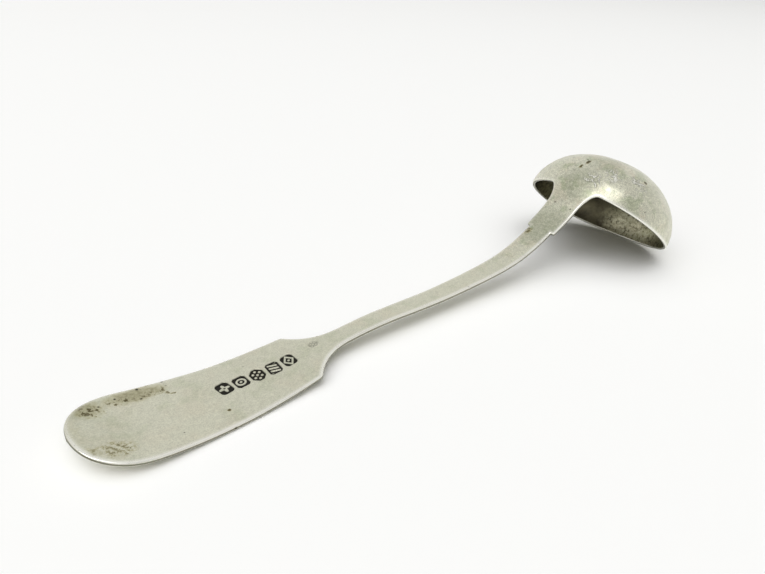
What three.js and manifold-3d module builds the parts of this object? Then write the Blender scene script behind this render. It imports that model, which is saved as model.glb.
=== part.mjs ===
import * as THREE from 'three';
import { mergeVertices } from 'three/addons/utils/BufferGeometryUtils.js';
import Module from 'manifold-3d';

// A small silver ladle with a fiddle-shaped handle and a round bowl, in millimetres.
// It lies bowl down: X runs from the handle's tip to the bowl, Z is up, and the table is Z = 0.
// Lengths along the handle are measured over its back, from the tip.

// Handle
const terminalLength = 42.9;
const terminalWidth = 19.1;
const terminalRound = 10.4;
const terminalFullness = 2.17;
const shoulderWidth = 15.1;
const shoulderSweep = 12.8;
const stemLength = 76.4;
const stemStartWidth = 4.6;
const stemEndWidth = 6.4;
const earWidth = 8.4;
const earStep = 0.2;

// Neck, which spreads into the bowl's edge with a fillet on each side
const neckLength = 15.2;
const neckWidth = 8.9;
const filletAlong = 6.8;
const filletAcross = 3.3;

// Bowl
const bowlDiameter = 41.2;
const bowlDepth = 15.2;
const bowlFullness = 2.11;
const rimSquareness = 2.2;
const rimDip = 0.9;
const wall = 0.8;
const heelThickness = 1.3;

// Where the thick heel starts, seen from the bowl's middle towards the neck, as a share of the radius
const heelFraction = 0.35;

// Thickness from tip to neck, in the middle and at the edges: the hidden front is rounded
const terminalThickness = 1.15;
const terminalEdge = 0.8;
const stemThickness = 1.9;
const stemEdge = 0.85;
const neckThickness = 1.6;
const neckEdge = 1;

// How far every edge bulges at half its thickness
const edgeRoundDepth = 0.15;

// Slanted solder joint across the neck, past the square ears
const seamAfterEars = 4.6;
const seamSlope = 28;
const solderThickness = 0.3;

// Depth of the worn flat on which the handle rests
const restWear = 0.06;

const earAt = terminalLength + stemLength;
const rimAt = earAt + neckLength;
const bowlRadius = bowlDiameter / 2;

// The back's slope in degrees at places along the handle, before the ladle settles on the table
const wallSlope = 56.1;
const slopes = [
  { at: 0, slope: -20.5 },
  { at: 0.22 * terminalLength, slope: -9.9 },
  { at: 0.5 * terminalLength, slope: -2.9 },
  { at: 0.87 * terminalLength, slope: 6.4 },
  { at: terminalLength + 0.14 * stemLength, slope: 6.8 },
  { at: terminalLength + 0.35 * stemLength, slope: -0.8 },
  { at: terminalLength + 0.56 * stemLength, slope: 3.9 },
  { at: terminalLength + 0.76 * stemLength, slope: 8.4 },
  { at: terminalLength + 0.93 * stemLength, slope: 25.4 },
  { at: earAt + 0.37 * neckLength, slope: 35.1 },
  { at: rimAt, slope: wallSlope },
];

// Mesh fineness
const profileSteps = 400;
const roundSteps = 9;
const bladeStep = 3.2;
const sweepSteps = 9;
const stemStep = 4;
const neckStep = 0.85;
const stripColumns = 12;
const rimColumns = 44;
const bowlRows = 12;

const wasm = await Module();
wasm.setup();

// Smooth curve through knots, with its slope at each knot taken from the neighbours on both sides
function smoothThrough(knots, at) {
  const last = knots.length - 1;
  let i = 0;
  while (i < last - 1 && at > knots[i + 1].at) i += 1;
  const slopeAt = (k) => {
    const before = knots[Math.max(k - 1, 0)];
    const after = knots[Math.min(k + 1, last)];
    return (after.slope - before.slope) / (after.at - before.at);
  };
  const span = knots[i + 1].at - knots[i].at;
  const u = THREE.MathUtils.clamp((at - knots[i].at) / span, 0, 1);
  const rise = u * u * (3 - 2 * u);
  const leave = u * (1 - u) * (1 - u) * span * slopeAt(i);
  const arrive = u * u * (u - 1) * span * slopeAt(i + 1);
  return knots[i].slope + (knots[i + 1].slope - knots[i].slope) * rise + leave + arrive;
}

// Line of the handle's back seen from the side, added up from its slope in short steps
function sideLine(tilt) {
  const line = [];
  const step = rimAt / profileSteps;
  const slopeHere = (along) => THREE.MathUtils.degToRad(smoothThrough(slopes, along) + tilt);
  let x = 0;
  let z = 0;
  for (let i = 0; i <= profileSteps; i += 1) {
    const along = i * step;
    line.push({ x, z, angle: slopeHere(along) });
    const middle = slopeHere(along + step / 2);
    x += Math.cos(middle) * step;
    z += Math.sin(middle) * step;
  }
  return line;
}

function pointOnLine(line, along) {
  const place = THREE.MathUtils.clamp((along / rimAt) * profileSteps, 0, profileSteps);
  const i = Math.min(Math.floor(place), profileSteps - 1);
  const u = place - i;
  const mix = (key) => THREE.MathUtils.lerp(line[i][key], line[i + 1][key], u);
  return { x: mix('x'), z: mix('z'), angle: mix('angle') };
}

const ease = (u) => u * u * (3 - 2 * u);

// How much of the bowl's roundness the strip has taken on: none at the ears, all at the rim
const roundnessAt = (along) => ease(THREE.MathUtils.clamp((along - earAt) / neckLength, 0, 1));

// Drop of a squared circle of radius 1 at a distance across its middle
const circleDrop = (across) => 1 - (1 - Math.abs(across) ** rimSquareness) ** (1 / rimSquareness);

// The bowl's wall, thicker at its heel round the neck. The place is a share of the bowl's radius
function wallAt(along, rise) {
  const nearNeck = THREE.MathUtils.clamp((-along - heelFraction) / (1 - heelFraction), 0, 1);
  return THREE.MathUtils.lerp(wall, heelThickness, ease(nearNeck) * (1 - rise) ** 2);
}

// Thickness of the strip at a share of its half width, which runs from -1 to 1
function thicknessAt(along, share, across) {
  const intoStem = ease(THREE.MathUtils.clamp((along - terminalLength) / shoulderSweep, 0, 1));
  const intoNeck = ease(THREE.MathUtils.clamp((along - earAt) / (neckLength - filletAlong), 0, 1));
  const intoWall = ease(THREE.MathUtils.clamp((along - rimAt + filletAlong) / filletAlong, 0, 1));
  const fromTip = (terminal, stem, neck) => {
    return THREE.MathUtils.lerp(THREE.MathUtils.lerp(terminal, stem, intoStem), neck, intoNeck);
  };
  const middle = fromTip(terminalThickness, stemThickness, neckThickness);
  const edge = fromTip(terminalEdge, stemEdge, neckEdge);
  const rounded = THREE.MathUtils.lerp(middle, edge, share * share);
  return THREE.MathUtils.lerp(rounded, wallAt(circleDrop(across / bowlRadius) - 1, 0), intoWall);
}

// Rows along the handle, each with its place and its half width
function terminalRows() {
  const rows = [];
  for (let i = 0; i <= roundSteps; i += 1) {
    const turn = (Math.PI / 2) * (i / roundSteps);
    const along = terminalRound * (1 - Math.cos(turn) ** (2 / terminalFullness));
    rows.push({ along, half: (terminalWidth / 2) * Math.sin(turn) ** (2 / terminalFullness) });
  }
  const count = Math.ceil((terminalLength - terminalRound) / bladeStep);
  for (let i = 1; i <= count; i += 1) {
    const u = i / count;
    const half = THREE.MathUtils.lerp(terminalWidth, shoulderWidth, u ** 1.5) / 2;
    rows.push({ along: THREE.MathUtils.lerp(terminalRound, terminalLength, u), half });
  }
  return rows;
}

function stemRows() {
  const rows = [];
  for (let i = 1; i <= sweepSteps; i += 1) {
    const u = (i / sweepSteps) ** 1.4;
    const half = (stemStartWidth + (shoulderWidth - stemStartWidth) * (1 - u) ** 3.1) / 2;
    rows.push({ along: terminalLength + shoulderSweep * u, half });
  }
  const count = Math.ceil((stemLength - shoulderSweep) / stemStep);
  for (let i = 1; i <= count; i += 1) {
    const u = i / count;
    const half = THREE.MathUtils.lerp(stemStartWidth, stemEndWidth, u ** 1.25) / 2;
    rows.push({ along: THREE.MathUtils.lerp(terminalLength + shoulderSweep, earAt, u), half });
  }
  return rows;
}

// From the square ears to the bowl's rim, where the fillets spread the neck along the rim
function neckRows() {
  const rows = [];
  const start = earAt + earStep;
  const straightEnd = rimAt - filletAlong;
  const straightCount = Math.ceil((straightEnd - start) / neckStep);
  for (let i = 0; i < straightCount; i += 1) {
    const u = i / straightCount;
    const half = THREE.MathUtils.lerp(earWidth, neckWidth, u) / 2;
    rows.push({ along: THREE.MathUtils.lerp(start, straightEnd, u), half });
  }
  for (let i = 0; i <= roundSteps; i += 1) {
    const turn = (Math.PI / 2) * (1 - i / roundSteps);
    const along = rimAt - filletAlong * (1 - Math.cos(turn));
    rows.push({ along, half: neckWidth / 2 + filletAcross * (1 - Math.sin(turn)) });
  }
  return rows;
}

// A point of the strip's back, or of its front, at a share of a row's half width
function stripPoint(line, { along, half }, share, front) {
  const centre = pointOnLine(line, along);
  const roundness = roundnessAt(along);
  const across = half * share;
  const depth = front ? thicknessAt(along, share, across) : 0;
  const drop = roundness * (bowlRadius - depth) * circleDrop(across / bowlRadius) + depth;
  const dip = roundness * rimDip * (across / bowlRadius) ** 2;
  const sine = Math.sin(centre.angle);
  const cosine = Math.cos(centre.angle);
  const y = across * (1 - (roundness * depth) / bowlRadius);
  return new THREE.Vector3(centre.x + drop * sine - dip * cosine, y, centre.z - drop * cosine - dip * sine);
}

// The bowl's own directions: outwards along the rim from the stem to the far side, and up to the back
function bowlFrame(line) {
  const stemSide = pointOnLine(line, rimAt);
  const up = new THREE.Vector3(Math.cos(stemSide.angle), 0, Math.sin(stemSide.angle));
  const out = new THREE.Vector3(Math.sin(stemSide.angle), 0, -Math.cos(stemSide.angle));
  const centre = new THREE.Vector3(stemSide.x, 0, stemSide.z).addScaledVector(out, bowlRadius);
  return { up, out, centre };
}

// A point of the bowl. Column shares run round the rim, and rise goes from 0 at the rim to 1 at the top
function bowlPoint(frame, along, across, rise, inside) {
  const depth = inside ? wallAt(along, rise) : 0;
  const turn = (Math.PI / 2) * rise;
  const spread = Math.cos(turn) ** (2 / bowlFullness);
  const height = Math.sin(turn) ** (2 / bowlFullness);
  const radius = (bowlRadius - depth) * spread;
  const dip = rimDip * across * across * (1 - height);
  return frame.centre.clone()
    .addScaledVector(frame.out, radius * along)
    .addScaledVector(new THREE.Vector3(0, 1, 0), radius * across)
    .addScaledVector(frame.up, (bowlDepth - depth) * height - dip);
}

// A plate from two matching skins: triangles name points, and border lists those round the edge
function plate(back, front, triangles, border) {
  const points = [...back, ...front];
  const faces = [];
  triangles.forEach(([a, b, c]) => {
    faces.push([a, b, c], [a + back.length, c + back.length, b + back.length]);
  });
  const first = points.length;
  border.forEach((here, i) => {
    const before = back[border[(i + border.length - 1) % border.length]];
    const after = back[border[(i + 1) % border.length]];
    const through = back[here].clone().sub(front[here]).normalize();
    const outward = after.clone().sub(before).normalize().cross(through);
    points.push(back[here].clone().add(front[here]).multiplyScalar(0.5).addScaledVector(outward, edgeRoundDepth));
  });
  border.forEach((here, i) => {
    const j = (i + 1) % border.length;
    const next = border[j];
    faces.push([here, first + i, next], [next, first + i, first + j]);
    faces.push([first + i, here + back.length, first + j]);
    faces.push([first + j, here + back.length, next + back.length]);
  });
  const geometry = new THREE.BufferGeometry();
  geometry.setAttribute('position', new THREE.Float32BufferAttribute(points.flatMap((p) => p.toArray()), 3));
  geometry.setIndex(faces.flat());
  return toSolid(geometry);
}

function toSolid(geometry) {
  const bare = geometry.clone();
  bare.deleteAttribute('normal');
  bare.deleteAttribute('uv');
  const merged = mergeVertices(bare, 1e-4);
  const index = Array.from(merged.index.array);
  const kept = [];
  for (let i = 0; i < index.length; i += 3) {
    const [a, b, c] = index.slice(i, i + 3);
    if (a !== b && b !== c && c !== a) kept.push(a, b, c);
  }
  return new wasm.Manifold(new wasm.Mesh({
    numProp: 3,
    vertProperties: new Float32Array(merged.attributes.position.array),
    triVerts: new Uint32Array(kept),
  }));
}

function toMesh(name, solid, material) {
  const cut = solid.getMesh();
  const geometry = new THREE.BufferGeometry();
  geometry.setAttribute('position', new THREE.BufferAttribute(new Float32Array(cut.vertProperties), 3));
  geometry.setIndex(new THREE.BufferAttribute(new Uint32Array(cut.triVerts), 1));
  geometry.computeVertexNormals();
  const mesh = new THREE.Mesh(geometry, material);
  mesh.name = name;
  return mesh;
}

// Grid of points over some rows of the strip, from the far edge to the near edge
function stripGrid(line, rows) {
  const back = [];
  const front = [];
  rows.forEach((row) => {
    for (let column = 0; column <= stripColumns; column += 1) {
      const share = 1 - (2 * column) / stripColumns;
      back.push(stripPoint(line, row, share, false));
      front.push(stripPoint(line, row, share, true));
    }
  });
  return { back, front };
}

function stripTriangles(rowCount) {
  const triangles = [];
  const width = stripColumns + 1;
  for (let row = 0; row < rowCount - 1; row += 1) {
    for (let column = 0; column < stripColumns; column += 1) {
      const a = row * width + column;
      triangles.push([a, a + 1, a + width], [a + 1, a + width + 1, a + width]);
    }
  }
  return triangles;
}

function handleSolid(line) {
  const rows = [...terminalRows(), ...stemRows(), ...neckRows()].filter((row) => row.along <= rimAt - filletAlong);
  const { back, front } = stripGrid(line, rows);
  const width = stripColumns + 1;
  const last = rows.length - 1;
  const border = [];
  for (let row = 0; row <= last; row += 1) border.push(row * width + stripColumns);
  for (let column = stripColumns - 1; column > 0; column -= 1) border.push(last * width + column);
  for (let row = last; row > 0; row -= 1) border.push(row * width);
  return plate(back, front, stripTriangles(rows.length), border);
}

// The bowl and the neck that runs out of its rim, as one raised sheet
function bowlSolid(line) {
  const frame = bowlFrame(line);
  const rows = neckRows();
  const { back, front } = stripGrid(line, rows);
  const triangles = stripTriangles(rows.length);
  const width = stripColumns + 1;
  const neckEnd = (rows.length - 1) * width;

  // Rim places as a share of the radius, first across the neck, then on round the rim
  const halfNeck = rows[rows.length - 1].half / bowlRadius;
  const onRim = [];
  for (let column = 0; column <= stripColumns; column += 1) {
    const across = halfNeck * (1 - (2 * column) / stripColumns);
    onRim.push({ along: circleDrop(across) - 1, across });
  }
  const startTurn = Math.PI + Math.asin(halfNeck ** (rimSquareness / 2));
  const wholeTurn = 2 * (2 * Math.PI - startTurn);
  for (let i = 1; i < rimColumns; i += 1) {
    const turn = startTurn + (wholeTurn * i) / rimColumns;
    const squared = (v) => Math.sign(v) * Math.abs(v) ** (2 / rimSquareness);
    onRim.push({ along: squared(Math.cos(turn)), across: squared(Math.sin(turn)) });
  }

  // Rings of the bowl: the neck's last row is the first stretch of the lowest ring
  const ring = [];
  for (let row = 0; row < bowlRows; row += 1) {
    ring.push(onRim.map(({ along, across }, i) => {
      if (row === 0 && i < width) return neckEnd + i;
      back.push(bowlPoint(frame, along, across, row / bowlRows, false));
      front.push(bowlPoint(frame, along, across, row / bowlRows, true));
      return back.length - 1;
    }));
  }
  back.push(bowlPoint(frame, 0, 0, 1, false));
  front.push(bowlPoint(frame, 0, 0, 1, true));
  const top = back.length - 1;
  const count = onRim.length;
  for (let i = 0; i < count; i += 1) {
    const j = (i + 1) % count;
    for (let row = 0; row < bowlRows - 1; row += 1) {
      const [a, b, c, d] = [ring[row][i], ring[row][j], ring[row + 1][j], ring[row + 1][i]];
      triangles.push([a, b, d], [b, c, d]);
    }
    triangles.push([ring[bowlRows - 1][i], ring[bowlRows - 1][j], top]);
  }

  const border = [];
  for (let row = 0; row < rows.length; row += 1) border.push(row * width + stripColumns);
  for (let i = width; i < count; i += 1) border.push(ring[0][i]);
  for (let row = rows.length - 1; row >= 0; row -= 1) border.push(row * width);
  for (let column = 1; column < stripColumns; column += 1) border.push(column);
  return plate(back, front, triangles, border);
}

// A block between two distances from the middle of the seam, measured square to its plane
function seamBlock(line, from, to) {
  const seam = { along: earAt + seamAfterEars, half: neckWidth / 2 };
  const middle = stripPoint(line, seam, 0, false).add(stripPoint(line, seam, 0, true)).multiplyScalar(0.5);
  const slant = pointOnLine(line, seam.along).angle - THREE.MathUtils.degToRad(seamSlope);
  const block = new THREE.BoxGeometry(2 * neckLength, earWidth + neckThickness, to - from);
  block.translate(0, 0, (from + to) / 2);
  block.rotateY(-slant);
  block.translate(middle.x, middle.y, middle.z);
  return toSolid(block);
}

// Height by which the handle's lowest point lies over the bowl's far rim
function restGap(line) {
  const rim = bowlPoint(bowlFrame(line), 1, 0, 0, false).z;
  const handle = line.map((_, i) => {
    return stripPoint(line, { along: (earAt * i) / profileSteps, half: stemEndWidth / 2 }, 0, true).z;
  });
  return Math.min(...handle) - rim;
}

// The side line at the tilt at which the ladle lies on its far rim and on the handle's worn flat
function restingLine() {
  let low = -10;
  let high = 10;
  for (let i = 0; i < 40; i += 1) {
    const tilt = (low + high) / 2;
    if (restGap(sideLine(tilt)) > -restWear) low = tilt;
    else high = tilt;
  }
  const line = sideLine(low);
  const rim = bowlPoint(bowlFrame(line), 1, 0, 0, false).z;
  return line.map((point) => ({ ...point, z: point.z - rim }));
}

function silver(colour, roughness) {
  return new THREE.MeshStandardMaterial({ color: colour, metalness: 1, roughness });
}

const line = restingLine();
const table = new THREE.BoxGeometry(4 * rimAt, 2 * bowlDiameter, bowlDiameter).translate(0, 0, -bowlRadius);
const sheet = bowlSolid(line);
const strip = handleSolid(line);

const solderEdge = solderThickness / 2;
const handle = strip.subtract(seamBlock(line, -solderEdge, neckLength)).subtract(toSolid(table));
const bowl = sheet.subtract(seamBlock(line, -neckLength, solderEdge));
const solder = sheet.intersect(seamBlock(line, -solderEdge, solderEdge));

const ladle = new THREE.Group();
ladle.add(toMesh('handle', handle, silver(0xc5c3b2, 0.36)));
ladle.add(toMesh('bowl', bowl, silver(0xbfbdab, 0.34)));
ladle.add(toMesh('solder_seam', solder, silver(0xb2b09c, 0.42)));

// The origin lies on the table, below the middle of the ladle's length
const extent = new THREE.Box3().setFromObject(ladle);
ladle.position.x = -(extent.min.x + extent.max.x) / 2;

export default ladle;
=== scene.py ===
# %% [markdown]
# # A small silver ladle, lying on its bowl
#
# The ladle is hand-wrought silver with a fiddle-shaped handle. It lies bowl down on a white table, so
# the back of everything faces up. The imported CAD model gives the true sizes. This script stays inside
# that frame, and swaps its coarse solids for finer skins of the same curves, with rounded edges, struck
# marks, dents and the stains that old silver carries.
#
# All lengths below are in millimetres, until each finished mesh is turned into metres.

import math

import bmesh
import bpy
import numpy as np
from mathutils import Matrix, Vector
from mathutils.kdtree import KDTree


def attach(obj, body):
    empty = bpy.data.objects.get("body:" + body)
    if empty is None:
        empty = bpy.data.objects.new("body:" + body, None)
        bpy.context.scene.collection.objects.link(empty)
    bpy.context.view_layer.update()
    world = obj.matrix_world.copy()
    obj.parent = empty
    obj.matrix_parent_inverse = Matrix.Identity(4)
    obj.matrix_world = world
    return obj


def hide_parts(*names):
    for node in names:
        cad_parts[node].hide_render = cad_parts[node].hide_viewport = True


MM = 0.001
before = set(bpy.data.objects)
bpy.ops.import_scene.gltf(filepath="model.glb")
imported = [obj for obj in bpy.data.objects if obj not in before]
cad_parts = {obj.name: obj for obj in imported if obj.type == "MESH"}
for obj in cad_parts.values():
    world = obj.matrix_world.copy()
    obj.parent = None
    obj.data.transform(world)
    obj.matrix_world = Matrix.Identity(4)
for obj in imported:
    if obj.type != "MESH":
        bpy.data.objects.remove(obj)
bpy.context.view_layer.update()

# %% [markdown]
# ## The line of the back, seen from the side
#
# Every piece of the ladle hangs on one curve: the line that the handle's back follows from the tip to
# the bowl's rim. The smith sets it by bending the finished strip over a stake, so it is smooth and has
# no straight runs. It could be drawn as a Bezier curve, but its slope is easier to judge than its
# handles, so the slopes at a few places are listed and added up in short steps.

# %% Side line
TERMINAL_LENGTH = 42.9
STEM_LENGTH = 76.4
NECK_LENGTH = 15.2
EAR_AT = TERMINAL_LENGTH + STEM_LENGTH
RIM_AT = EAR_AT + NECK_LENGTH

TIP_X, TIP_Z = -82.452, 4.804
RESTING_TILT = 0.282
SLOPES = [
    (0, -20.5),
    (0.22 * TERMINAL_LENGTH, -9.9),
    (0.5 * TERMINAL_LENGTH, -2.9),
    (0.87 * TERMINAL_LENGTH, 6.4),
    (TERMINAL_LENGTH + 0.14 * STEM_LENGTH, 6.8),
    (TERMINAL_LENGTH + 0.35 * STEM_LENGTH, -0.8),
    (TERMINAL_LENGTH + 0.56 * STEM_LENGTH, 3.9),
    (TERMINAL_LENGTH + 0.76 * STEM_LENGTH, 8.4),
    (TERMINAL_LENGTH + 0.93 * STEM_LENGTH, 25.4),
    (EAR_AT + 0.37 * NECK_LENGTH, 35.1),
    (RIM_AT, 56.1),
]
LINE_STEP = 0.1


def slope_at(along):
    """Slope of the back in radians: a smooth curve through the listed slopes."""
    at, slope = np.array(SLOPES).T
    gain = np.empty_like(at)
    gain[1:-1] = (slope[2:] - slope[:-2]) / (at[2:] - at[:-2])
    gain[[0, -1]] = (slope[[1, -1]] - slope[[0, -2]]) / (at[[1, -1]] - at[[0, -2]])
    i = np.clip(np.searchsorted(at, along) - 1, 0, len(at) - 2)
    span = at[i + 1] - at[i]
    u = np.clip((along - at[i]) / span, 0, 1)
    value = slope[i] + (slope[i + 1] - slope[i]) * u * u * (3 - 2 * u)
    value += u * (1 - u) ** 2 * span * gain[i] + u * u * (u - 1) * span * gain[i + 1]
    return np.radians(value + RESTING_TILT)


line_at = np.linspace(0, RIM_AT, round(RIM_AT / LINE_STEP) + 1)
line_step = line_at[1]
between = slope_at(line_at[:-1] + line_step / 2)
line_x = TIP_X + np.append(0, np.cumsum(np.cos(between))) * line_step
line_z = TIP_Z + np.append(0, np.cumsum(np.sin(between))) * line_step
print("line ends at", round(line_x[-1], 2), round(line_z[-1], 2))

# %% [markdown]
# ## A skin for the strip
#
# Handle and neck are one strip of silver, flat across on the handle and rounder and rounder towards the
# bowl. A function gives the point for a place along the strip, a place across it, and a depth under the
# back. Everything that lies on the strip asks this function, so marks and edges follow its bends.

# %% Strip skin
BOWL_RADIUS = 41.2 / 2
RIM_SQUARENESS = 2.2
RIM_DIP = 0.9
HEEL_START = -0.35
WALL = 0.8
HEEL_THICKNESS = 1.3
SHOULDER_SWEEP = 12.8
FILLET_ALONG = 6.8
FILLET_ACROSS = 3.3
TERMINAL_THICKNESS = {"middle": 1.15, "edge": 0.8}
STEM_THICKNESS = {"middle": 1.9, "edge": 0.85}
NECK_THICKNESS = {"middle": 1.6, "edge": 1.0}


def ease(u):
    """A smooth step from 0 to 1."""
    u = np.clip(u, 0, 1)
    return u * u * (3 - 2 * u)


def circle_drop(share):
    """How far a squared circle of radius 1 has fallen back, this far across its middle."""
    return 1 - (1 - np.abs(share) ** RIM_SQUARENESS) ** (1 / RIM_SQUARENESS)


def wall_at(along, rise):
    """Thickness of the bowl, which is heavier at the heel, near the neck."""
    near_neck = ease((HEEL_START - along) / (HEEL_START + 1))
    return WALL + (HEEL_THICKNESS - WALL) * near_neck * (1 - rise) ** 2


def thickness_at(along, across, half):
    """Thickness of the strip, which changes along it and thins towards its edges."""
    into_stem = ease((along - TERMINAL_LENGTH) / SHOULDER_SWEEP)
    into_neck = ease((along - EAR_AT) / (NECK_LENGTH - FILLET_ALONG))
    into_wall = ease((along - RIM_AT + FILLET_ALONG) / FILLET_ALONG)
    share = np.clip(across / np.maximum(half, 0.01), -1, 1) ** 2
    blade, stem, neck = (
        t["middle"] + (t["edge"] - t["middle"]) * share
        for t in (TERMINAL_THICKNESS, STEM_THICKNESS, NECK_THICKNESS)
    )
    rounded = blade + (stem - blade) * into_stem
    rounded += (neck - rounded) * into_neck
    at_rim = wall_at(circle_drop(across / BOWL_RADIUS) - 1, 0)
    return rounded + (at_rim - rounded) * into_wall


def strip_point(along, across, depth):
    """A point of the strip. Past the rim, the strip runs straight on into the bowl's wall."""
    angle = slope_at(along)
    past = np.maximum(along - RIM_AT, 0)
    x = np.interp(along, line_at, line_x) + past * np.cos(angle)
    z = np.interp(along, line_at, line_z) + past * np.sin(angle)
    roundness = ease((along - EAR_AT) / NECK_LENGTH)
    drop = roundness * (BOWL_RADIUS - depth) * circle_drop(across / BOWL_RADIUS) + depth
    dip = roundness * RIM_DIP * (across / BOWL_RADIUS) ** 2
    y = across * (1 - roundness * depth / BOWL_RADIUS)
    x = x + drop * np.sin(angle) - dip * np.cos(angle)
    return np.stack([x, y, z - drop * np.cos(angle) - dip * np.sin(angle)], -1)


print("rim starts at", strip_point(np.array([RIM_AT]), np.zeros(1), np.zeros(1))[0].round(2))

# %% [markdown]
# ## Rows across the handle
#
# The handle's outline is filed from the strip: a rounded tip, long flanks, two shoulders and the square
# ears. It is drawn 0.28 mm inside the CAD model's outline, because a rounded arris is put round it
# later. A traced curve could give it too, but formulas keep both sides alike and every width in reach.
# Each row knows where its ends lie, which way is outwards there, and where its middle lies. Middles and
# ends part company only at the ears, where the edge jumps outwards and straight rows would pile up.

# %% Outline of the handle
TERMINAL_WIDTH = 19.1
TERMINAL_ROUND = 10.4
TERMINAL_FULLNESS = 2.17
SHOULDER_WIDTH = 15.1
STEM_START_WIDTH = 4.6
STEM_END_WIDTH = 6.4
EAR_WIDTH = 8.4
EAR_FACE = EAR_AT + 0.1
NECK_WIDTH = 8.9
ARRIS_INSET = 0.28
BLADE_CURVE, SWEEP_CURVE, STEM_CURVE = 1.5, 3.1, 1.25
CORNER_SOFTNESS = 0.3
OUTLINE_STEP = 0.05
OUTLINE_REACH = 30


def side_of_handle(along):
    """Half the width from the rounded tip to the ears, with the shoulder's corner worn a little round."""
    fine = np.arange(TERMINAL_ROUND, EAR_AT, OUTLINE_STEP)
    u = np.clip((fine - TERMINAL_ROUND) / (TERMINAL_LENGTH - TERMINAL_ROUND), 0, 1)
    blade = TERMINAL_WIDTH + (SHOULDER_WIDTH - TERMINAL_WIDTH) * u**BLADE_CURVE
    u = np.clip((fine - TERMINAL_LENGTH) / SHOULDER_SWEEP, 0, 1)
    sweep = STEM_START_WIDTH + (SHOULDER_WIDTH - STEM_START_WIDTH) * (1 - u) ** SWEEP_CURVE
    sweep_end = TERMINAL_LENGTH + SHOULDER_SWEEP
    u = np.clip((fine - sweep_end) / (EAR_AT - sweep_end), 0, 1)
    stem = STEM_START_WIDTH + (STEM_END_WIDTH - STEM_START_WIDTH) * u**STEM_CURVE
    width = np.where(fine < TERMINAL_LENGTH, blade, np.where(fine < sweep_end, sweep, stem))
    reach = np.arange(-OUTLINE_REACH, OUTLINE_REACH + 1) * OUTLINE_STEP
    kernel = np.exp(-((reach / CORNER_SOFTNESS) ** 2) / 2)
    padded = np.pad(width, OUTLINE_REACH, mode="edge")
    soft = np.convolve(padded, kernel / kernel.sum(), mode="valid")
    half = np.interp(along, fine, soft) / 2
    lean = np.interp(along, fine, np.gradient(soft, fine)) / 2
    return half, lean


print("width at the shoulders:", round(2 * float(side_of_handle(TERMINAL_LENGTH)[0]), 2))

# %% Rows of the handle


def row(end, half, out_along, out_across, middle=None):
    """One row: its ends, half its width, the way outwards at its ends, and its middle."""
    middle = end if middle is None else middle
    return {"end": end, "half": half, "out": (out_along, out_across), "middle": middle}


def tip_rows(count=30):
    """Rows round the tip, which is a squared half circle."""
    rows = []
    power = 2 / TERMINAL_FULLNESS
    length, half = TERMINAL_ROUND - ARRIS_INSET, TERMINAL_WIDTH / 2 - ARRIS_INSET
    for turn in np.linspace(0, math.pi / 2, count + 1)[:-1]:
        cosine, sine = math.cos(turn), math.sin(turn)
        out = np.array([cosine ** (2 - power) / length, sine ** (2 - power) / half])
        out /= np.linalg.norm(out)
        end = TERMINAL_ROUND - length * cosine**power
        rows.append(row(end, half * sine**power, -out[0], out[1]))
    return rows


def side_rows(places):
    """Rows along the flanks, shoulders and stem."""
    half, lean = side_of_handle(places)
    long_way = np.sqrt(1 + lean**2)
    return [
        row(a, h - ARRIS_INSET * s, -slant / s, 1 / s)
        for a, h, slant, s in zip(places, half, lean, long_way)
    ]


def ear_rows():
    """Up the ear's face: the inner corner, the face, four rows round the outer corner."""
    face = EAR_FACE + ARRIS_INSET
    low, high = STEM_END_WIDTH / 2 - ARRIS_INSET, EAR_WIDTH / 2 - ARRIS_INSET
    # The last four ends go round a corner that is less than 0.1 mm wide
    ends = [
        (face, low, -1, 1),
        (face, (low + high) / 2, -1, 0),
        (face, high - 0.06, -1, 0),
        (face + 0.01, high - 0.015, -0.87, 0.5),
        (face + 0.03, high, -0.5, 0.87),
        (face + 0.08, high, 0, 1),
    ]
    middles = np.linspace(face - 0.3, face + 0.4, len(ends))
    return [row(*end, middle) for end, middle in zip(ends, middles)]


def neck_rows(start, stop, step):
    """Rows along the straight part of the neck."""
    places = np.arange(start, stop, step)
    straight_end = RIM_AT - FILLET_ALONG
    u = np.clip((places - EAR_FACE) / (straight_end - EAR_FACE), 0, 1)
    half = (EAR_WIDTH + (NECK_WIDTH - EAR_WIDTH) * u) / 2 - ARRIS_INSET
    return [row(a, h, 0, 1) for a, h in zip(places, half)]


print("rows round the tip:", len(tip_rows()), "and up an ear's face:", len(ear_rows()))

# %% [markdown]
# ## From rows to a closed piece
#
# A piece is a back skin, a front skin and an edge between them. The edge is a band of faces bent over
# from the back to the front, a squared half circle in section, which is what filing and wear leave on
# silver of this thickness. The Bevel modifier could round a sharp edge too, but it clamps on faces
# as small as these.

# %% Plate maker
EDGE_STEPS = 10
EDGE_SQUARENESS = 2.5
EDGE_REACH = 0.4
FADE_PER_MM = -0.2
PAST_THE_EDGE = 1.2
ENDS_PULL = 5


def grid_faces(first, rows, columns):
    """Quads of a grid whose point numbers start at first."""
    faces = []
    for r in range(rows - 1):
        for c in range(columns - 1):
            a = first + r * columns + c
            faces.append((a, a + 1, a + 1 + columns, a + columns))
    return faces


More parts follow.
